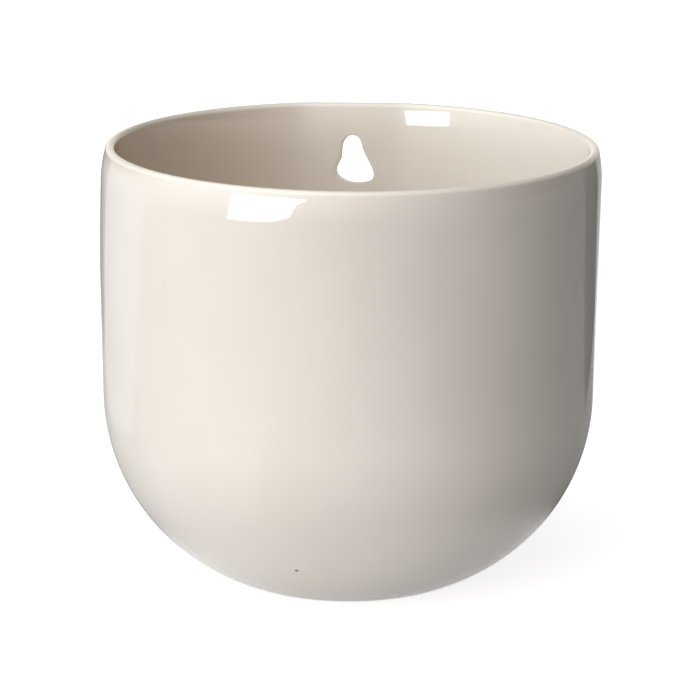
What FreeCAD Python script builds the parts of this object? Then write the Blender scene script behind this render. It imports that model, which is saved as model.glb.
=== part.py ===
import FreeCAD, Part
import math
import os

# A wall planter: one deep pot, slip cast in stoneware and glazed inside and out.
# Its side is almost straight, a single large round turns it under to a small flat foot,
# and its back is flattened a little so that it lies against a wall, where a keyhole
# under the lip hangs it on one screw.
#
# Frame: millimetres, +Z up, the foot stands on Z = 0, the pot's axis is the Z axis
# and the flat back faces +Y.

# ---------------------------------------------------------------- driving dimensions
rim_diameter = 150.0         # across the mouth, outside the wall
height = 130.0               # from the foot to the top of the lip
wall_thickness = 4.2
floor_thickness = 5.0        # least thickness of the floor, over the recess under it
wall_lean = 0.75             # degrees that the side draws in, from the lip downwards
bowl_radius = 60.0           # the large round between the side and the foot, outside
cove_radius = 16.0           # where the floor turns up into the side, inside

foot_diameter = 75.0         # outer edge of the flat that the pot stands on
foot_ring_width = 6.0        # bare ring that touches the table
foot_recess_depth = 1.6      # the middle of the underside is hollowed by this much
foot_recess_slope = 2.4      # width of the slope from the ring up into the hollow
foot_edge_radius = 2.5       # softens the outer corner of the ring

back_inset = 2.0             # how far the flat back lies inside the round
back_blend_radius = 14.0     # softens the two edges of the flat

lip_outer_drop = 6.5         # the outside starts to draw in this far below the top of the lip
lip_outer_inset = 1.4        # and has drawn in by this much at the top
lip_outer_radius = 20.0      # softens the start of that slope
lip_inner_drop = 8.0         # the same three on the inside
lip_inner_inset = 0.9
lip_inner_radius = 30.0
lip_top_radius = 0.9         # rounds the two edges of the lip, which leaves almost no flat

keyhole_below_lip = 10.0     # clay left above the keyhole
keyhole_height = 15.8
keyhole_head_width = 11.9    # lets a screw head through
keyhole_slot_radius = 3.0    # half the width of the slot, and its round top
keyhole_slot_shift = 1.0     # the slot was cut this much to the left of the head
keyhole_left_radius = 3.2    # lower left round of the head
keyhole_right_radius = 2.8   # lower right round of the head
keyhole_left_rise = 1.5      # the head's left round sits this much above its right one
keyhole_edge_radius = 0.8    # the glaze rounds the hole's edges by this much

# ---------------------------------------------------------------- sizes worked out
rim_radius = rim_diameter / 2
foot_radius = foot_diameter / 2
lean = math.radians(wall_lean)
back_y = rim_radius - back_inset
inner_back_y = back_y - wall_thickness
floor_z = foot_recess_depth + floor_thickness
keyhole_top = height - keyhole_below_lip
keyhole_bottom = keyhole_top - keyhole_height
same = 0.01                  # two places closer than this are the same place


def bowl_centre():
    """Centre (r, z) of the large round: tangent to the leaning side and through the foot's edge."""
    slope = math.tan(lean)
    r_at_floor = rim_radius - height * slope - bowl_radius / math.cos(lean)
    reach = foot_radius - r_at_floor
    a = 1 + slope ** 2
    b = slope * reach
    c = reach ** 2 - bowl_radius ** 2
    z = (b + math.sqrt(b ** 2 - a * c)) / a
    return r_at_floor + slope * z, z


bowl_r, bowl_z = bowl_centre()


def on_bowl(radius, below):
    """Point of a round about the bowl's centre, at an angle below the horizontal."""
    return bowl_r + radius * math.cos(below), bowl_z - radius * math.sin(below)


def line(start, end):
    return Part.LineSegment(vector(start), vector(end)).toShape()


def arc(start, middle, end):
    return Part.Arc(vector(start), vector(middle), vector(end)).toShape()


def vector(point):
    """A point (r, z) of a profile, in the XZ plane."""
    return FreeCAD.Vector(point[0], 0, point[1])


def spun(edges):
    """Solid made by turning a closed profile about the Z axis."""
    face = Part.Face(Part.Wire(edges))
    return face.revolve(FreeCAD.Vector(0, 0, 0), FreeCAD.Vector(0, 0, 1), 360)


def in_front_of(solid, y):
    """The part of a solid that lies in front of the plane at y, which cuts the back flat."""
    side = 4 * (rim_diameter + height)
    keep = Part.makeBox(side, side, side, FreeCAD.Vector(-side / 2, y - side, -side / 2))
    return solid.common(keep)


# ---------------------------------------------------------------- outside of the pot
def outside():
    hollow_r = foot_radius - foot_ring_width
    hollow_top_r = hollow_r - foot_recess_slope
    foot_angle = math.asin(bowl_z / bowl_radius)
    foot_edge = (foot_radius, 0)
    side_start = on_bowl(bowl_radius, lean)
    rim_edge = (rim_radius, height)
    edges = [
        line((0, foot_recess_depth), (hollow_top_r, foot_recess_depth)),
        line((hollow_top_r, foot_recess_depth), (hollow_r, 0)),
        line((hollow_r, 0), foot_edge),
        arc(foot_edge, on_bowl(bowl_radius, (foot_angle + lean) / 2), side_start),
        line(side_start, rim_edge),
        line(rim_edge, (0, height)),
        line((0, height), (0, foot_recess_depth)),
    ]
    return in_front_of(spun(edges), back_y)


# ---------------------------------------------------------------- hollow of the pot
def inside():
    radius = bowl_radius - wall_thickness
    floor_angle = math.asin((bowl_z - floor_z) / radius)
    floor_edge = on_bowl(radius, floor_angle)
    side_start = on_bowl(radius, lean)
    mouth_edge = (rim_radius - wall_thickness / math.cos(lean), height)
    edges = [
        line((0, floor_z), floor_edge),
        arc(floor_edge, on_bowl(radius, (floor_angle + lean) / 2), side_start),
        line(side_start, mouth_edge),
        line(mouth_edge, (0, height)),
        line((0, height), (0, floor_z)),
    ]
    return in_front_of(spun(edges), inner_back_y)


# ---------------------------------------------------------------- keyhole
def keyhole_centres():
    """Centres (x, z) of the slot's round top and of the head's two lower rounds."""
    half = keyhole_head_width / 2
    right_z = keyhole_bottom + keyhole_right_radius
    slot = (-keyhole_slot_shift, keyhole_top - keyhole_slot_radius)
    left = (keyhole_left_radius - half, right_z + keyhole_left_rise)
    right = (half - keyhole_right_radius, right_z)
    return slot, left, right


def tangent(start, start_radius, end, end_radius):
    """Line that touches two circles on the right of the way from the first to the second."""
    dx, dz = end[0] - start[0], end[1] - start[1]
    way = math.atan2(dz, dx)
    side = way - math.acos((start_radius - end_radius) / math.hypot(dx, dz))
    return [(centre[0] + radius * math.cos(side), centre[1] + radius * math.sin(side))
            for centre, radius in ((start, start_radius), (end, end_radius))]


def on_circle(centre, radius, angle):
    return centre[0] + radius * math.cos(angle), centre[1] + radius * math.sin(angle)


def angle_of(centre, point):
    return math.atan2(point[1] - centre[1], point[0] - centre[0])


def round_from(centre, radius, start, end):
    """Arc of a circle from one of its points to another, anticlockwise."""
    first = angle_of(centre, start)
    last = angle_of(centre, end)
    if last < first:
        last += 2 * math.pi
    return arc(start, on_circle(centre, radius, (first + last) / 2), end)


def keyhole():
    """The hole through the back: a slot whose right side flares into the head, its left side straight."""
    slot, left, right = keyhole_centres()
    low_left, low_right = tangent(left, keyhole_left_radius, right, keyhole_right_radius)
    flare_low, flare_high = tangent(right, keyhole_right_radius, slot, keyhole_slot_radius)
    slot_left = (slot[0] - keyhole_slot_radius, slot[1])
    neck_rise = math.sqrt(keyhole_left_radius ** 2 - (slot_left[0] - left[0]) ** 2)
    neck = (slot_left[0], left[1] + neck_rise)
    edges = [
        line(low_left, low_right),
        round_from(right, keyhole_right_radius, low_right, flare_low),
        line(flare_low, flare_high),
        round_from(slot, keyhole_slot_radius, flare_high, slot_left),
        line(slot_left, neck),
        round_from(left, keyhole_left_radius, neck, low_left),
    ]
    face = Part.Face(Part.Wire(edges))
    face.translate(FreeCAD.Vector(0, inner_back_y - wall_thickness, 0))
    through_the_wall = FreeCAD.Vector(0, 3 * wall_thickness, 0)
    return face.extrude(through_the_wall)


# ---------------------------------------------------------------- soft edges
def level_at(edge, z):
    """True if the whole of an edge lies at one height."""
    box = edge.BoundBox
    return abs(box.ZMin - z) < same and abs(box.ZMax - z) < same


def in_plane(edge, y):
    """True if the whole of an edge lies in the plane at y."""
    box = edge.BoundBox
    return abs(box.YMin - y) < same and abs(box.YMax - y) < same


def side_of_flat(edge, y):
    """True if an edge bounds the flat at y on its left or right."""
    return in_plane(edge, y) and edge.BoundBox.ZLength > same


def foot_corner(edge):
    """True if an edge is the outer circle of the foot."""
    return level_at(edge, 0) and abs(edge.BoundBox.XLength / 2 - foot_radius) < same


def keyhole_rim(edge):
    """True if an edge bounds the keyhole on the inner or the outer face of the flat back."""
    box = edge.BoundBox
    on_a_face = in_plane(edge, back_y) or in_plane(edge, inner_back_y)
    return on_a_face and box.ZMin > keyhole_bottom - same and box.ZMax < keyhole_top + same


def rounded(solid, radius, test):
    """A solid with every edge that the test picks rounded."""
    return solid.makeFillet(radius, [edge for edge in solid.Edges if test(edge)])


# ---------------------------------------------------------------- lip
def top_ring(solid):
    """The flat ring on top of the wall."""
    level = [face for face in solid.Faces if face.BoundBox.ZMin > height - same]
    return level[0]


def ring_edges(solid, outer):
    """The edges round the outside or round the mouth of the flat ring on top."""
    ring = top_ring(solid)
    return [edge for wire in ring.Wires if wire.isSame(ring.OuterWire) == outer for edge in wire.Edges]


def softened_start(solid, drop, radius):
    """Rounds the edge where a slope of the lip starts."""
    return rounded(solid, radius, lambda edge: level_at(edge, height - drop))


def with_lip(solid):
    """Thins the wall towards the top by a long slope on each side, then rounds the top."""
    solid = solid.makeChamfer(lip_outer_drop, lip_outer_inset, ring_edges(solid, True))
    solid = softened_start(solid, lip_outer_drop, lip_outer_radius)
    solid = solid.makeChamfer(lip_inner_inset, lip_inner_drop, ring_edges(solid, False))
    solid = softened_start(solid, lip_inner_drop, lip_inner_radius)
    return rounded(solid, lip_top_radius, lambda edge: level_at(edge, height))


# ---------------------------------------------------------------- the pot
shell = rounded(outside(), back_blend_radius, lambda edge: side_of_flat(edge, back_y))
shell = rounded(shell, foot_edge_radius, foot_corner)
hollow = rounded(inside(), back_blend_radius, lambda edge: side_of_flat(edge, inner_back_y))
hollow = rounded(hollow, cove_radius, lambda edge: level_at(edge, floor_z))

pot = with_lip(shell.cut(hollow))
pot = rounded(pot.cut(keyhole()), keyhole_edge_radius, keyhole_rim)

os.makedirs("parts", exist_ok=True)
pot.exportStep("parts/pot.step")
print("pot", "valid" if pot.isValid() else "not valid", round(pot.Volume / 1000, 1), "cm3")
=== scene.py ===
# %% [markdown]
# # A glazed wall planter, turned by nodes
#
# The real pot is one piece of slip-cast stoneware. Its side is almost straight, one large round
# turns it under to a small foot, its back is pressed flat against a wall, and a keyhole under the
# lip hangs it on one screw. It is glazed inside and out, and the foot ring is wiped bare so that
# it doesn't stick to the kiln shelf.
#
# This lesson makes that pot as a closed mesh. A turned pot follows a rule, its profile goes round
# its axis, so Geometry Nodes make it. The glaze is a shader whose colour, gloss and bumps come
# from nodes.

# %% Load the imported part, whose size everything here follows
import math

import bpy
from mathutils import Matrix, Vector


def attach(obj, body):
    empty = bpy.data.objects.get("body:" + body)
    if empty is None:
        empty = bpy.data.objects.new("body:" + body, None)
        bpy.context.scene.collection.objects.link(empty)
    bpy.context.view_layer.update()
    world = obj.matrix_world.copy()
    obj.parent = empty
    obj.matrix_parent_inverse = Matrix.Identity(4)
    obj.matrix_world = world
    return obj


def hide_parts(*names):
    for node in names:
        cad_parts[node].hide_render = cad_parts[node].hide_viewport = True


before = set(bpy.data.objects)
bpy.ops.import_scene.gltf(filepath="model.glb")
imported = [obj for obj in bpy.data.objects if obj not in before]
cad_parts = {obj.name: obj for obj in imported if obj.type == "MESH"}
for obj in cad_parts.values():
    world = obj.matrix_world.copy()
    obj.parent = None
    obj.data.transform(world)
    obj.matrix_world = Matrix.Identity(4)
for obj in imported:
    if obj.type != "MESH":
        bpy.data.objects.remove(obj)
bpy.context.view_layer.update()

# %% [markdown]
# ## The sizes of the pot
#
# Blender works in metres and a potter in millimetres, so a size is written in millimetres and
# turned into metres where it meets Blender. Names for the sizes keep the profile readable. Nearly
# all of them are the solid part's own. The rim is a hair smaller, which keeps the mesh inside the
# solid's box, and the wall is a little thicker, because the lip of this one pot looks that thick.

# %% Sizes in millimetres
mm = 0.001
height = 130.0
rim_radius = 74.7
wall = 5.0
lean = math.radians(0.75)      # the side draws in by this much, from the lip downwards
bowl_radius = 60.0             # the large round under the side
foot_radius = 37.5
foot_edge = 2.5                # softens the foot's outer corner
ring_width = 6.0               # the bare ring that the pot stands on
hollow_depth = 1.6             # the hollow inside the ring
hollow_slope = 2.4
floor_level = 6.6
cove = 16.0                    # the round between the floor and the side, inside
back_y = 73.0                  # the flat back
print("wall", wall, "mm, floor", floor_level - hollow_depth, "mm thick")

# %% [markdown]
# ## The camera
#
# The photograph looks down on the pot by fifteen degrees, from far away with a long lens. A camera
# that stands closer would draw the mouth rounder and the foot smaller. The picture is square, so
# the lens follows from the sensor's width and from how many pixels one radian covers.

# %% Camera
picture = 700
sensor = 36
pixels_per_radian = 2981
camera_distance = 0.9
camera_turn = math.radians(1.7)
camera_rise = math.radians(15.12)
camera_roll = math.radians(0.38)
aimed_at = Vector((0, 0, 56.25 * mm))     # a point on the pot's axis
aimed_pixel = (348.6, 383.8)              # and the pixel where it is seen

towards_eye = Vector((math.sin(camera_turn) * math.cos(camera_rise),
                      -math.cos(camera_turn) * math.cos(camera_rise), math.sin(camera_rise)))
upright = towards_eye.to_track_quat("Z", "Y").to_matrix()
metres_per_pixel = camera_distance / pixels_per_radian
middle = (aimed_at + upright.col[0] * (picture / 2 - aimed_pixel[0]) * metres_per_pixel
          + upright.col[1] * (aimed_pixel[1] - picture / 2) * metres_per_pixel)
eye = aimed_at + towards_eye * camera_distance

lens = bpy.data.cameras.new("camera")
lens.sensor_width = sensor
lens.lens = sensor * pixels_per_radian / picture
lens.clip_start, lens.clip_end = 0.05, 30
camera = bpy.data.objects.new("camera", lens)
bpy.context.scene.collection.objects.link(camera)
look = (eye - middle).to_track_quat("Z", "Y").to_matrix() @ Matrix.Rotation(camera_roll, 3, "Z")
camera.matrix_world = Matrix.Translation(eye) @ look.to_4x4()
bpy.context.scene.camera = camera
print("lens", round(lens.lens, 1), "mm, eye", [round(value, 4) for value in eye])

# %% [markdown]
# ## The lip
#
# The lip isn't a plain round. The wall thins towards it by a long round on each side, over about
# ten millimetres outside and fourteen inside, and a small round closes it. That is where the long
# highlight sits in the photograph, so any corner would show. The three rounds are therefore solved
# together, so that each meets its neighbour and the wall without one.

# %% Solve the lip
lip_outer_turn, lip_inner_turn = math.radians(13), math.radians(10.5)
lip_outer_radius, lip_inner_radius = 37.0, 75.0


def lip_rounds():
    """Centre and radius of the small top round, and the centres of the two long ones beside it."""
    slope = math.tan(lean)
    out_cos, out_sin = math.cos(lip_outer_turn), math.sin(lip_outer_turn)
    in_cos, in_sin = math.cos(lip_inner_turn), math.sin(lip_inner_turn)
    # the long outer round ends on the leaning side: r + a * top = b
    drop = lip_outer_radius * (out_sin + math.sin(lean))
    a = out_cos - slope * (out_sin - 1)
    b = rim_radius - slope * drop + lip_outer_radius * (out_cos - math.cos(lean))
    # the long inner round ends on the leaning inner face: r - c * top = d
    fall = lip_inner_radius * (in_sin - math.sin(lean))
    c = in_cos + slope * (in_sin - 1)
    d = (rim_radius - wall / math.cos(lean) - slope * fall
         - lip_inner_radius * (in_cos - math.cos(lean)))
    top = (b - d) / (a + c)
    r = b - a * top
    z = height - top
    outer = (r - (lip_outer_radius - top) * out_cos, z - (lip_outer_radius - top) * out_sin)
    inner = (r + (lip_inner_radius - top) * in_cos, z - (lip_inner_radius - top) * in_sin)
    return top, (r, z), outer, inner


top_radius, top_centre, outer_centre, inner_centre = lip_rounds()
shoulder = (outer_centre[0] + lip_outer_radius * math.cos(lean),
            outer_centre[1] - lip_outer_radius * math.sin(lean))
throat = (inner_centre[0] - lip_inner_radius * math.cos(lean),
          inner_centre[1] + lip_inner_radius * math.sin(lean))
print("lip: top round", round(top_radius, 2), "mm, long rounds", round(height - shoulder[1], 1),
      "mm high outside and", round(height - throat[1], 1), "mm inside")

# %% [markdown]
# ## The profile
#
# A potter shapes the wall with a rib, a stiff card cut to the profile. Here the rib is a list of
# points (radius, depth, height). Depth says how deep in the wall a point lies, counted from the
# outer skin: nothing on the outside, the wall's thickness on the inside, and in between on the
# lip. The flat back needs it later. Points lie closer together where the profile bends more.

# %% Straight stretches and rounds
flat_step, side_step = 3.0, 2.0                 # mm between points on the flats and on the side,
ring_step, slope_step = 1.0, 0.5                # on the foot's ring and the slope beside it,
bowl_step, inner_bowl_step, cove_step = 1.6, 1.8, 1.2           # on the large rounds
corner_step, outer_lip_step, inner_lip_step, top_step = 0.35, 0.5, 0.8, 0.15     # and the others


def run(start, end, step):
    """Points of a straight stretch, without its last one."""
    count = max(1, round(math.dist(start, end) / step))
    return [tuple(p + (q - p) * i / count for p, q in zip(start, end)) for i in range(count)]


def bend(centre, radius, first, last, step):
    """Points of a round from one angle to another, without the last one."""
    count = max(2, round(abs(math.radians(last - first)) * radius / step))
    angles = [math.radians(first + (last - first) * i / count) for i in range(count)]
    return [(centre[0] + radius * math.cos(turn), centre[1] + radius * math.sin(turn))
            for turn in angles]


def bowl_middle():
    """Centre of the large round, which touches the side and ends on the foot's edge."""
    slope = math.tan(lean)
    reach = foot_radius - (rim_radius - height * slope - bowl_radius / math.cos(lean))
    a, b, c = 1 + slope ** 2, slope * reach, reach ** 2 - bowl_radius ** 2
    z = (b + math.sqrt(b ** 2 - a * c)) / a
    return foot_radius - reach + slope * z, z


print("large round about", [round(value, 2) for value in bowl_middle()])


# %% Draw the profile
def rib():
    """The whole profile, from the middle of the underside round to the middle of the floor."""
    bowl = bowl_middle()
    lean_angle = math.degrees(lean)
    foot_r = bowl[0] + math.sqrt((bowl_radius - foot_edge) ** 2 - (bowl[1] - foot_edge) ** 2)
    foot_angle = math.degrees(math.asin((bowl[1] - foot_edge) / (bowl_radius - foot_edge)))
    ring_r = foot_radius - ring_width
    hollow_r = ring_r - hollow_slope
    inner_bowl = bowl_radius - wall
    cove_r = bowl[0] + math.sqrt((inner_bowl - cove) ** 2 - (bowl[1] - floor_level - cove) ** 2)
    cove_angle = math.degrees(math.asin((bowl[1] - floor_level - cove) / (inner_bowl - cove)))
    outer_turn, inner_turn = math.degrees(lip_outer_turn), math.degrees(lip_inner_turn)
    side = (bowl[0] + bowl_radius * math.cos(lean), bowl[1] - bowl_radius * math.sin(lean))
    inner_side = (bowl[0] + inner_bowl * math.cos(lean), bowl[1] - inner_bowl * math.sin(lean))
    outside = (run((0, hollow_depth), (hollow_r, hollow_depth), flat_step)
               + run((hollow_r, hollow_depth), (ring_r, 0), slope_step)
               + run((ring_r, 0), (foot_r, 0), ring_step)
               + bend((foot_r, foot_edge), foot_edge, -90, -foot_angle, corner_step)
               + bend(bowl, bowl_radius, -foot_angle, -lean_angle, bowl_step)
               + run(side, shoulder, side_step)
               + bend(outer_centre, lip_outer_radius, -lean_angle, outer_turn, outer_lip_step))
    lip = bend(top_centre, top_radius, outer_turn, 180 - inner_turn, top_step)
    inside = (bend(inner_centre, lip_inner_radius, 180 - inner_turn, 180 - lean_angle,
                   inner_lip_step)
              + run(throat, inner_side, side_step)
              + bend(bowl, inner_bowl, -lean_angle, -cove_angle, inner_bowl_step)
              + bend((cove_r, floor_level + cove), cove, -cove_angle, -90, cove_step)
              + run((cove_r, floor_level), (0, floor_level), flat_step) + [(0, floor_level)])
    return outside, lip, inside


def depth_in_wall(point, inner):
    """How deep in the wall a point of the profile lies, counted from the outer skin."""
    r, z = point
    if z < bowl_middle()[1]:
        return wall if inner else 0.0
    skin = rim_radius - (height - z) * math.tan(lean)
    return min(wall, max(0.0, skin - r))


outside, lip, inside = rib()
profile = ([(r, depth_in_wall((r, z), False), z) for r, z in outside + lip]
           + [(r, depth_in_wall((r, z), True), z) for r, z in inside])
print("profile", len(profile), "points,", len(lip), "of them on the top of the lip")

# %% [markdown]
# ## A small notation for nodes
#
# Node trees get long when every link is written out. One class holds a tree and adds a node in one
# call: its type, then its settings, then what goes into its sockets. The other wraps an output, so
# that arithmetic on it adds Math nodes and the maths reads as maths. Both serve the geometry and
# the glaze.


# %% Wires and benches
class Wire:
    """A number or picture that a node gives. Arithmetic on it adds Math nodes."""

    def __init__(self, bench, socket):
        self.bench, self.socket = bench, socket

    def __add__(self, other):
        return self.bench.maths("ADD", self, other)

    def __sub__(self, other):
        return self.bench.maths("SUBTRACT", self, other)

    def __rsub__(self, other):
        return self.bench.maths("SUBTRACT", other, self)

    def __mul__(self, other):
        return self.bench.maths("MULTIPLY", self, other)

    def __truediv__(self, other):
        return self.bench.maths("DIVIDE", self, other)

    def __pow__(self, other):
        return self.bench.maths("POWER", self, other)

    __radd__, __rmul__ = __add__, __mul__


class Bench:
    """A node tree that is being built."""

    def __init__(self, tree):
        self.tree = tree

    def node(self, kind, settings=None, values=None, give=0):
        """Adds a node, applies its settings, fills its sockets and gives one of its outputs."""
        made = self.tree.nodes.new(kind)
        for name, value in (settings or {}).items():
            setattr(made, name, value)
        for name, value in (values or {}).items():
            if isinstance(value, Wire):
                self.tree.links.new(value.socket, made.inputs[name])
            else:
                made.inputs[name].default_value = value
        return Wire(self, made.outputs[give]) if made.outputs else made

    def maths(self, operation, *numbers):
        return self.node("ShaderNodeMath", {"operation": operation}, dict(enumerate(numbers)))

    def beside(self, wire, name):
        """Another output of the node that a wire comes from."""
        return Wire(self, wire.socket.node.outputs[name])


print("notation ready")

# %% [markdown]
# ## The keyhole
#
# The hole was cut by hand in the soft clay, and the glaze rounded its edges. It is a narrow slot
# for the screw's neck over a wide round for its head, and no side of it is quite straight. A few
# points were read off the hole, and a Catmull-Rom curve runs through them all, which suits a
# hand-cut shape better than arcs. A cutter follows the curve through the wall and opens out
# towards both faces like a cotton reel, so the cut it leaves already has rounded edges. The hole's
# lower side falls away towards the back, because none of the wall's thickness shows there in the
# photograph.

# %% Outline of the keyhole, as points (x, z)
read_off = [(-0.8, 119.9), (-2.2, 119.75), (-3.2, 119.0), (-4.1, 117.4), (-4.45, 115.4),
            (-4.5, 113.4), (-4.7, 112.3), (-5.3, 111.2), (-5.95, 109.9), (-6.15, 108.6),
            (-6.0, 107.7), (-5.2, 106.75), (-3.6, 105.75), (-1.8, 105.1), (0.3, 104.85),
            (2.4, 104.95), (4.2, 105.25), (5.3, 106.0), (5.65, 107.1), (5.3, 108.8),
            (4.4, 110.7), (3.5, 112.5), (2.5, 114.4), (1.9, 116.2), (1.45, 117.9),
            (0.6, 119.3)]


def through(points, steps):
    """A closed, smooth curve through all of the points, with this many steps between two."""
    curve = []
    count = len(points)
    for i in range(count):
        before, start, end, after = [points[(i + shift) % count] for shift in (-1, 0, 1, 2)]
        for step in range(steps):
            t = step / steps
            curve.append(tuple(
                0.5 * (2 * b + (c - a) * t + (2 * a - 5 * b + 4 * c - d) * t ** 2
                       + (3 * b - a - 3 * c + d) * t ** 3)
                for a, b, c, d in zip(before, start, end, after)))
    return curve


def evened(curve, rounds):
    """A closed curve with every point drawn a little towards its two neighbours, several times."""
    for _ in range(rounds):
        curve = [tuple((a + 2 * b + c) / 4 for a, b, c in zip(before, point, after))
                 for before, point, after
                 in zip(curve[-1:] + curve[:-1], curve, curve[1:] + curve[:1])]
    return curve


outline = evened(through(read_off, 6), 6)
widths = [round(max(p[i] for p in outline) - min(p[i] for p in outline), 2) for i in (0, 1)]
print("keyhole outline", len(outline), "points,", widths[0], "mm wide and", widths[1], "mm high")


# %% The cutter
edge_round = 0.5        # radius of the hole's rounded edges
draft = 0.27            # how steeply the hole's lower side falls towards the back
brim = 0.5              # the cutter is this much wider still outside the wall,
brim_start = 0.1        # from here outwards
reach_out = 3.0         # and reaches this far past each face


def mesh_object(name, points, faces=()):
    """An object at the origin whose mesh has these points, given in millimetres."""
    mesh = bpy.data.meshes.new(name)
    mesh.from_pydata([[value * mm for value in point] for point in points], [], faces)
    made = bpy.data.objects.new(name, mesh)
    bpy.context.scene.collection.objects.link(made)
    return made


def sideways_from(curve):
    """The direction straight out of a closed curve at each of its points."""
    ways = []
    for before, after in zip(curve[-1:] + curve[:-1], curve[1:] + curve[:1]):
        along = Vector((after[0] - before[0], after[1] - before[1])).normalized()
        ways.append((along.y, -along.x))
    return ways


def reel(outline, inner_y, outer_y):
    """A solid that follows the outline through the wall and flares at both faces."""
    turns = [math.radians(angle) for angle in range(0, 82, 9)]
    flare = [(edge_round * (1 - math.cos(turn)), edge_round * (1 - math.sin(turn)))
             for turn in turns]
    widest = flare[-1][0] + brim
    levels = [(widest, -reach_out), (widest, -brim_start)] + flare[::-1]
    thickness = outer_y - inner_y
    levels += [(out, thickness - down) for out, down in levels[::-1]]
    ways = sideways_from(outline)
    count = len(outline)
    points = [(x + out * way[0], inner_y + y, z + out * way[1] + y * draft * min(0, way[1]))
              for out, y in levels for (x, z), way in zip(outline, ways)]
    faces = [(row * count + (i + 1) % count, row * count + i,
              (row + 1) * count + i, (row + 1) * count + (i + 1) % count)
             for row in range(len(levels) - 1) for i in range(count)]
    last = (len(levels) - 1) * count
    faces += [tuple(range(count)), tuple(range(last, last + count))[::-1]]
    return mesh_object("keyhole_cutter", points, faces)


cutter = reel(outline, back_y - wall, back_y)
print("cutter", len(cutter.data.polygons), "faces")

# %% [markdown]
# ## The lathe
#
# Geometry Nodes turn the profile. A grid has one row of points for each point of the profile and
# one column for each step round the axis. Every grid point looks its radius, depth and height up
# in the rib and moves to its place. Then the back is pressed flat: a point may not lie farther
# back than the wall's plane, less its own depth in the wall, and a smooth minimum leaves a soft
# edge. So the wall stays about as thick there, as it does when soft clay is pressed against a
# board. A hand-made pot isn't quite true: the back's inner face is a little askew, and the left of
# the mouth leans in. Merging closes the seam and the two poles, and a boolean cuts the keyhole.

# %% Sizes for the lathe
steps_round = 240
soft_edge = 0.9                # softens the edges of the flat back
inner_skew = 0.0314            # slope of the back's inner face against its outer one
mouth_slip = 0.75              # the left of the mouth slips in by twice this, its right by nothing
slip_start = 90                # the slip grows from this height up to the lip
slip_power = 1.5
same_place = 0.01              # points closer than this are one point
crease = math.radians(11)      # an edge sharper than this stays an edge
lathe_inputs = (("Rib", "Object"), ("Rows", "Int"), ("Steps round", "Int"), ("Flat back", "Float"),
                ("Soft edge", "Float"), ("Back skew", "Float"), ("Mouth slip", "Float"),
                ("Cutter", "Object"), ("Glaze", "Material"))
print("lathe inputs:", ", ".join(name for name, kind in lathe_inputs))


# %% The tree
def lathe_tree():
    """The tree, with named inputs for what shapes the pot."""
    tree = bpy.data.node_groups.new("turn_a_pot", "GeometryNodeTree")
    for name, kind in lathe_inputs:
        tree.interface.new_socket(name, in_out="INPUT", socket_type="NodeSocket" + kind)
    tree.interface.new_socket("Pot", in_out="OUTPUT", socket_type="NodeSocketGeometry")
    bench = Bench(tree)
    rib_object = bench.node("NodeGroupInput")
    rows, steps, flat, soft, skew, slip, cut, finish = [
        bench.beside(rib_object, name) for name, kind in lathe_inputs[1:]]

    index = bench.node("GeometryNodeInputIndex")
    step = bench.maths("FLOOR", index / rows)
    row = index - step * rows
    grid = bench.node("GeometryNodeMeshGrid",
                      values={"Vertices X": steps + 1, "Vertices Y": rows})
    rib_points = bench.node("GeometryNodeObjectInfo", values={"Object": rib_object},
                            give="Geometry")
    place = bench.node("GeometryNodeSampleIndex", {"data_type": "FLOAT_VECTOR"},
                       {"Geometry": rib_points, "Index": row,
                        "Value": bench.node("GeometryNodeInputPosition")})
    radius = bench.node("ShaderNodeSeparateXYZ", values={0: place})
    depth, level = bench.beside(radius, "Y"), bench.beside(radius, "Z")

    turn = step / steps * math.tau
    sideways = radius * bench.maths("COSINE", turn)
    backwards = radius * bench.maths("SINE", turn)
    plane = flat - depth + sideways * (depth * skew)
    pressed = bench.maths("SMOOTH_MIN", backwards, plane, soft)
    near_lip = bench.maths("MAXIMUM", (level - slip_start * mm) / ((height - slip_start) * mm), 0.0)
    slipped = sideways + near_lip ** slip_power * slip * (1 - sideways / (rim_radius * mm))
    turned = bench.node("GeometryNodeSetPosition", values={
        "Geometry": grid,
        "Position": bench.node("ShaderNodeCombineXYZ", values={0: slipped, 1: pressed, 2: level})})
    closed = bench.node("GeometryNodeMergeByDistance",
                        values={"Geometry": turned, "Distance": same_place * mm})
    outward = bench.node("GeometryNodeFlipFaces", values={"Mesh": closed})

    cutter_mesh = bench.node("GeometryNodeObjectInfo", values={"Object": cut}, give="Geometry")
    holed = bench.node("GeometryNodeMeshBoolean",
                       {"operation": "DIFFERENCE", "solver": "EXACT"},
                       {"Mesh 1": outward, "Mesh 2": cutter_mesh})
    smooth = bench.node("GeometryNodeSetShadeSmooth", values={"Geometry": holed})
    angle = bench.node("GeometryNodeInputMeshEdgeAngle", give="Unsigned Angle")
    creased = bench.node("GeometryNodeSetShadeSmooth", {"domain": "EDGE"}, {
        "Geometry": smooth, "Shade Smooth": False,
        "Selection": bench.maths("GREATER_THAN", angle, crease)})
    real = bench.node("GeometryNodeRealizeInstances", values={"Geometry": creased})
    glazed = bench.node("GeometryNodeSetMaterial", values={"Geometry": real, "Material": finish})
    bench.node("NodeGroupOutput", values={"Pot": glazed})
    return tree


lathe = lathe_tree()
print("lathe tree", len(lathe.nodes), "nodes")
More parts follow.
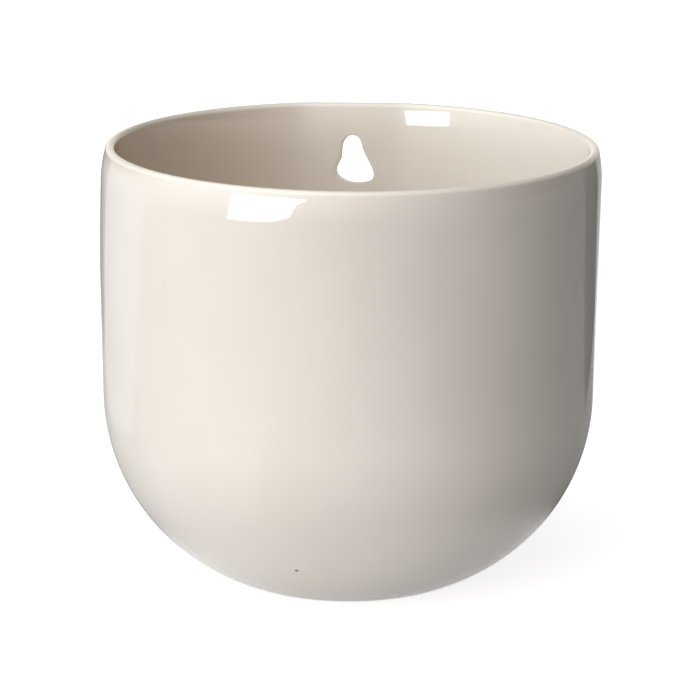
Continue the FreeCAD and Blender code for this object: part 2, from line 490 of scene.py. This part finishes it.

# %% [markdown]
# ## The glaze
#
# The glaze is a warm white, a glass a third of a millimetre thick over a pale body. Glass sits on
# everything, so gloss is low roughness and an index of 1.55, as in real glazes. What makes it look
# fired and not sprayed is small: it flowed, so the surface undulates by hundredths of a millimetre
# over a centimetre or two; it pooled and thinned, so its colour drifts and turns creamier where it
# runs thin over the lip; a few specks of iron came through, one of them large; and the ring under
# the foot was wiped clean and shows the bare, matt, sandy body. The inside's colour also carries
# painted shade, darker at the left, which faces away from the lamps, and painted light at the
# right.

# %% Colours of the glaze and the body
glaze_colour = (0.785, 0.725, 0.66, 1)
pooled_colour = (0.755, 0.695, 0.63, 1)
# the inside's two colours: painted shade at its left, painted light at its right
inside_painted_shade_colour = (0.68, 0.575, 0.47, 1)
inside_painted_light_colour = (0.81, 0.75, 0.67, 1)
lip_colour = (0.82, 0.76, 0.67, 1)
body_colour, sand_colour = (0.66, 0.58, 0.48, 1), (0.74, 0.67, 0.57, 1)
speck_colour = (0.05, 0.035, 0.025, 1)
gloss, bare_matt = 0.05, 0.75              # roughness of the glaze, and what the bare body adds
glass_index = 1.55
print("glaze colour", glaze_colour[:3])

# %% Where it changes, from the first place of a pair to the second
inside_shade_x = (-62, 15)                         # mm, along the inside, from painted shade at the left to painted light at the right
inner_depth = (1.6, 2.6)                   # mm deep in the wall, from the outside to the inside
inner_above = 4                            # mm, lower than this is the underside
lip_below_top = (1.6, 0.5)                 # mm, where the glaze runs thin
bare_height = (0.5, 0.2)                   # mm, the bare ring's outer edge
bare_radius = (30.6, 31.2)                 # mm, and its inner one
drift_range, sand_range = (0.35, 0.65), (0.3, 0.7)      # of the noise
speck_size, speck_chance = (0.020, 0.012), (0.955, 0.96)   # of a cell, and how few cells have one
iron_dot = (-12.8, -58.1, 16.3)            # mm, the one large speck, low on the front
dot_radius = (0.65, 0.42)                  # mm
speck_strength, dot_strength = 0.7, 0.9
lumps = {"drift": 22.0, "flow": 65.0, "skin": 900.0, "sand": 2500.0, "specks": 60.0}   # per metre
wave_depth, peel_depth, sand_depth = 0.10, 0.0006, 0.08     # mm
print("patterns", lumps)


# %% Helpers for the glaze
def mixed(bench, how_much, first, second):
    """A colour between two colours."""
    return bench.node("ShaderNodeMix", {"data_type": "RGBA"}, {0: how_much, 6: first, 7: second},
                      give=2)


def ease(bench, wire, start, end):
    """Rises smoothly from 0 to 1 between two values of a wire, or falls if start is the larger."""
    return bench.node("ShaderNodeMapRange", {"interpolation_type": "SMOOTHSTEP"},
                      {0: wire, 1: start, 2: end})


def ease_mm(bench, wire, places):
    """The same between two places in millimetres."""
    return ease(bench, wire, places[0] * mm, places[1] * mm)


def noise(bench, place, name, detail):
    """A soft random pattern in space."""
    return bench.node("ShaderNodeTexNoise",
                      values={"Vector": place, "Scale": lumps[name], "Detail": detail})


def bump(bench, pattern, depth, strength=1.0, over=None):
    """The normal that a pattern of heights gives, this many millimetres deep, over another one."""
    values = {"Strength": strength, "Distance": depth * mm, "Height": pattern}
    if over is not None:
        values["Normal"] = over
    return bench.node("ShaderNodeBump", values=values, give="Normal")


print("helpers ready")


# %% Where the inside and the specks are
def on_the_inside(bench, y, z, from_axis):
    """1 on the inner skin and 0 on the outer one, by how deep in the wall a place lies."""
    bowl_r, bowl_z = bowl_middle()
    beside_side = rim_radius * mm - (height * mm - z) * math.tan(lean) - from_axis
    out, down = from_axis - bowl_r * mm, z - bowl_z * mm
    beside_bowl = bowl_radius * mm - bench.maths("SQRT", out * out + down * down)
    below_side = bench.maths("LESS_THAN", z, bowl_z * mm)
    beside_round = beside_side + below_side * (beside_bowl - beside_side)
    in_wall = bench.maths("MINIMUM", beside_round, back_y * mm - y)
    return (ease_mm(bench, in_wall, inner_depth)
            * bench.maths("GREATER_THAN", z, inner_above * mm))


def specks(bench, place):
    """How much iron shows: in a few cells of a pattern, near the middle, and in the large speck."""
    cells = bench.node("ShaderNodeTexVoronoi", values={"Vector": place, "Scale": lumps["specks"]})
    chance = bench.node("ShaderNodeSeparateColor", values={0: bench.beside(cells, "Color")})
    small = ease(bench, cells, *speck_size) * ease(bench, chance, *speck_chance)
    beside_dot = bench.node("ShaderNodeVectorMath", {"operation": "DISTANCE"},
                            {0: place, 1: [value * mm for value in iron_dot]}, give="Value")
    dot = ease_mm(bench, beside_dot, dot_radius)
    return bench.maths("MAXIMUM", small * speck_strength, dot * dot_strength)


print("masks ready")


# %% The material
def glaze():
    """The one material of the pot."""
    made = bpy.data.materials.new("glaze")
    made.use_nodes = True
    bench = Bench(made.node_tree)
    shader = made.node_tree.nodes["Principled BSDF"]
    place = bench.node("ShaderNodeTexCoord", give="Object")
    x = bench.node("ShaderNodeSeparateXYZ", values={0: place})
    y, z = bench.beside(x, "Y"), bench.beside(x, "Z")
    from_axis = bench.maths("SQRT", x * x + y * y)
    drift, sand = noise(bench, place, "drift", 2.0), noise(bench, place, "sand", 3.0)
    thin = ease_mm(bench, z, [height - below for below in lip_below_top])
    bare = ease_mm(bench, z, bare_height) * ease_mm(bench, from_axis, bare_radius)

    colour = mixed(bench, ease(bench, drift, *drift_range), pooled_colour, glaze_colour)
    # painted shade at the inside's left, painted light at its right
    inside_shading = mixed(bench, ease_mm(bench, x, inside_shade_x), inside_painted_shade_colour, inside_painted_light_colour)
    colour = mixed(bench, on_the_inside(bench, y, z, from_axis), colour, inside_shading)
    colour = mixed(bench, thin, colour, lip_colour)
    colour = mixed(bench, specks(bench, place), colour, speck_colour)
    grit = mixed(bench, ease(bench, sand, *sand_range), body_colour, sand_colour)
    colour = mixed(bench, bare, colour, grit)

    waves = bump(bench, noise(bench, place, "flow", 1.0), wave_depth)
    peel = bump(bench, noise(bench, place, "skin", 2.0), peel_depth, over=waves)
    rough = bump(bench, sand, sand_depth, strength=bare, over=peel)
    made.node_tree.links.new(colour.socket, shader.inputs["Base Color"])
    made.node_tree.links.new((gloss + bare * bare_matt).socket, shader.inputs["Roughness"])
    made.node_tree.links.new(rough.socket, shader.inputs["Normal"])
    shader.inputs["IOR"].default_value = glass_index
    return made


pot_glaze = glaze()
print("glaze", len(pot_glaze.node_tree.nodes), "nodes")

# %% [markdown]
# ## Turning the pot
#
# An object with no mesh of its own carries the tree as a modifier. Its inputs are set by the
# identifiers of their sockets, because two sockets may share a name. Then the result is copied
# into a plain mesh, so that nothing about the finished pot depends on the tree, the rib or the
# cutter.


# %% Turn it
def turned(tree, name, **sizes):
    """The plain mesh object that a tree makes with these inputs."""
    blank = mesh_object(name, [])
    modifier = blank.modifiers.new("lathe", "NODES")
    modifier.node_group = tree
    sockets = {item.name: item.identifier for item in tree.interface.items_tree
               if item.in_out == "INPUT"}
    for label, value in sizes.items():
        modifier[sockets[label.replace("_", " ")]] = value
    evaluated = blank.evaluated_get(bpy.context.evaluated_depsgraph_get())
    mesh = bpy.data.meshes.new_from_object(evaluated)
    blank.modifiers.remove(modifier)
    blank.data = mesh
    return blank


def volume(mesh):
    """Volume inside a closed mesh in cm3, negative if its faces point inwards."""
    mesh.calc_loop_triangles()
    corners = [[mesh.vertices[i].co for i in triangle.vertices] for triangle in mesh.loop_triangles]
    return sum(a.dot(b.cross(c)) for a, b, c in corners) / 6 * 1e6


rib_points = mesh_object("rib", profile)
pot = turned(lathe, "glazed_pot", Rib=rib_points, Rows=len(profile), Steps_round=steps_round,
             Flat_back=back_y * mm, Soft_edge=soft_edge * mm,
             Back_skew=inner_skew / (wall * mm), Mouth_slip=mouth_slip * mm,
             Cutter=cutter, Glaze=pot_glaze)
for tool in (rib_points, cutter):
    bpy.data.objects.remove(tool)
print("pot", len(pot.data.polygons), "faces,", len(pot.data.loop_triangles), "triangles")
print("volume", round(volume(pot.data), 1), "cm3")

# %% The pot stands for the solid part
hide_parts("pot")
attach(pot, "root")
print("pot stands for node pot")

# %% [markdown]
# ## The table
#
# The pot stands on a sheet of white paper on a dark table. Round it, glows are painted on the floor
# that only the glaze sees: painted reflections of paper standing round the pot, and of light under
# the bowl. The glaze shows them most at the pot's edges, where the gaps between the arcs draw the
# dark line down the right. Light Path tells who asks for the light: these glows light nothing else,
# and a ray from the camera sees a white floor that keeps the pot's shadow.

# %% Painted reflections round the pot
sheet_sides, sheet_front, sheet_blur = (-0.170, 0.175), -0.245, 0.005      # metres
painted_reflection_arcs = [((-104, -100), (45, 41), 0.08),          # where a painted reflection starts and ends, in degrees round from the front, and how bright it is
              ((-100, -104), (-145, -140), 0.5),       # round from the front, and how bright it is
              ((41, 45), (132, 128), 0.24)]
far_arc, far_glow = (149, 152), 0.45                   # painted reflection of paper that starts behind the pot
under_middle, under_edge, under_glow = (0.01, -0.01), (0.085, 0.055), 0.6  # painted reflection of light under the bowl
table_grey, sheet_grey = 0.2, 0.54
seen_grey, seen_glow = 0.4, 0.85                       # the floor that the camera sees
print("painted_reflections", 1 + len(painted_reflection_arcs), "beside the sheet")


# %% Floor
def grey(value):
    """A grey colour."""
    return value, value, value, 1


def floor_finish():
    """A bright sheet under the pot on a dark table, with painted reflections that only the glaze
    sees, lifted to plain white for the camera.
    """
    made = bpy.data.materials.new("paper")
    made.use_nodes = True
    bench = Bench(made.node_tree)
    made.node_tree.nodes.remove(made.node_tree.nodes["Principled BSDF"])
    place = bench.node("ShaderNodeTexCoord", give="Object")
    x = bench.node("ShaderNodeSeparateXYZ", values={0: place})
    y = bench.beside(x, "Y")
    left, right = sheet_sides
    sheet = (ease(bench, x, left, left + sheet_blur) * ease(bench, x, right, right - sheet_blur)
             * ease(bench, y, sheet_front, sheet_front + sheet_blur))
    turn = bench.maths("ARCTAN2", x, 0 - y) * (180 / math.pi)
    # painted reflections: glows on the floor that only the glaze sees, where paper would stand
    painted_reflections = sum(ease(bench, turn, *first) * ease(bench, turn, *last) * bright
                 for first, last, bright in painted_reflection_arcs)
    glints = (1 - sheet) * painted_reflections + ease(bench, turn, *far_arc) * far_glow
    aside, ahead = x - under_middle[0], y - under_middle[1]
    off_foot = bench.maths("SQRT", aside * aside + ahead * ahead)
    # painted reflection of light under the bowl, seen only by the glaze
    under = ease(bench, off_foot, *under_edge) * under_glow
    dark, white, dim = [bench.node("ShaderNodeBsdfDiffuse", values={"Color": grey(value)})
                        for value in (table_grey, sheet_grey, seen_grey)]
    glossy = bench.node("ShaderNodeLightPath", give="Is Glossy Ray")
    glow = bench.node("ShaderNodeEmission", values={
        "Color": grey(1), "Strength": glossy * (glints + under)})
    plain = bench.node("ShaderNodeMixShader", values={0: sheet, 1: dark, 2: white})
    table = bench.node("ShaderNodeAddShader", values={0: plain, 1: glow})
    lift = bench.node("ShaderNodeEmission", values={"Color": grey(1), "Strength": seen_glow})
    shown = bench.node("ShaderNodeAddShader", values={0: dim, 1: lift})
    seen = bench.node("ShaderNodeLightPath", give="Is Camera Ray")
    both = bench.node("ShaderNodeMixShader", values={0: seen, 1: table, 2: shown})
    made.node_tree.links.new(both.socket, made.node_tree.nodes["Material Output"].inputs["Surface"])
    return made


def sheet_object(name, corners, finish):
    """A flat sheet with these corners, in metres, that isn't part of the pot."""
    mesh = bpy.data.meshes.new(name)
    mesh.from_pydata(corners, [], [tuple(range(len(corners)))])
    mesh.materials.append(finish)
    made = bpy.data.objects.new(name, mesh)
    bpy.context.scene.collection.objects.link(made)
    return made


sheet_object("table", [(-3, -3, 0), (3, -3, 0), (3, 3, 0), (-3, 3, 0)], floor_finish())
print("table laid")

# %% [markdown]
# ## The softbox
#
# A softbox is a lamp behind a flat white cloth. A glossy pot mirrors the cloth's outline, here
# under the lip and again inside the back wall. So the outline isn't guessed: each corner stands
# where the glaze under the lip would mirror it into a corner of the highlight. That highlight is
# plain white in the photograph, so the cloth shows brighter in the glaze than it lights the pot.

# %% Softbox
key_seen_from = (-20, -71, 124)      # mm, the place on the pot from which its corners are seen
key_corners = [(-56.5, -12.8), (-42, -12.5), (-33, -9.1), (-25.5, -4.8), (-24.5, 0),
               (-22.5, 5.9), (-19, 9.1), (-17, 11.2), (-54, 11.2)]    # degrees round and up
key_distance = 0.7                   # metres
key_lights, key_shows = 6.0, 9.0     # how bright it lights, and how bright the glaze shows it


def aim(turn, rise):
    """The direction at these degrees round from the front and above the level."""
    turn, rise = math.radians(turn), math.radians(rise)
    return Vector((math.sin(turn) * math.cos(rise), -math.cos(turn) * math.cos(rise),
                   math.sin(rise)))


def softbox(name, seen_from, distance, corners, radiance, mirrored):
    """A flat glowing cloth whose corners are seen in these directions from a point of the pot.

    It lights the pot with one radiance and shows in the glaze with another.
    """
    finish = bpy.data.materials.new(name)
    finish.use_nodes = True
    bench = Bench(finish.node_tree)
    finish.node_tree.nodes.remove(finish.node_tree.nodes["Principled BSDF"])
    glossy = bench.node("ShaderNodeLightPath", give="Is Glossy Ray")
    glow = bench.node("ShaderNodeEmission", values={
        "Color": grey(1), "Strength": radiance + glossy * (mirrored - radiance)})
    finish.node_tree.links.new(glow.socket,
                               finish.node_tree.nodes["Material Output"].inputs["Surface"])
    ways = [aim(*corner) for corner in corners]
    facing = sum(ways, Vector()).normalized()
    here = Vector(seen_from) * mm
    made = sheet_object(name, [here + way * (distance / way.dot(facing)) for way in ways], finish)
    made.visible_camera = False
    return made


key = softbox("key", key_seen_from, key_distance, key_corners, key_lights, key_shows)
print("key lamp", [[round(value, 2) for value in corner.co] for corner in key.data.vertices])

# %% [markdown]
# ## The room
#
# The rest of the light is broad. It comes from the upper left and a little from the front, and a
# screen of warm white paper stands behind the pot. None of it has an edge that the glaze could
# mirror, so it is painted on the world as smooth glows. The camera sees white in its place.

# %% Room
glows = [(-60, 45, (1.78, 1.95, 2.06)),      # degrees round and up, and tint
         (-22, 33, (1.14, 1.03, 0.97))]
glow_focus = 3
screen_tint = (1.05, 0.95, 0.83)
screen_top = (0.55, 0.1)             # it fades between these heights of a unit direction


def room():
    """White to the camera, and to all other rays a dark studio with glows and the screen in it."""
    world = bpy.data.worlds.new("studio")
    bpy.context.scene.world = world
    world.use_nodes = True
    bench = Bench(world.node_tree)
    seen = bench.node("ShaderNodeLightPath", give="Is Camera Ray")
    way = bench.node("ShaderNodeTexCoord", give="Generated")
    x = bench.node("ShaderNodeSeparateXYZ", values={0: way})
    y, z = bench.beside(x, "Y"), bench.beside(x, "Z")
    behind = ease(bench, z, *screen_top) * bench.maths("MAXIMUM", y, 0.0) ** 2 / (x * x + y * y)
    lights = [(behind, screen_tint)]
    for turn, rise, tint in glows:
        towards = aim(turn, rise)
        facing = bench.maths("MAXIMUM", x * towards.x + y * towards.y + z * towards.z, 0.0)
        lights.append((facing ** glow_focus, tint))
    channels = [sum(light * tint[i] for light, tint in lights) for i in range(3)]
    channels = [channel + seen * (1 - channel) for channel in channels]
    colour = bench.node("ShaderNodeCombineColor", values=dict(enumerate(channels)))
    world.node_tree.links.new(colour.socket, world.node_tree.nodes["Background"].inputs["Color"])


room()
bpy.context.scene.view_settings.view_transform = "Standard"
print("room ready,", len(glows), "glows and a screen")
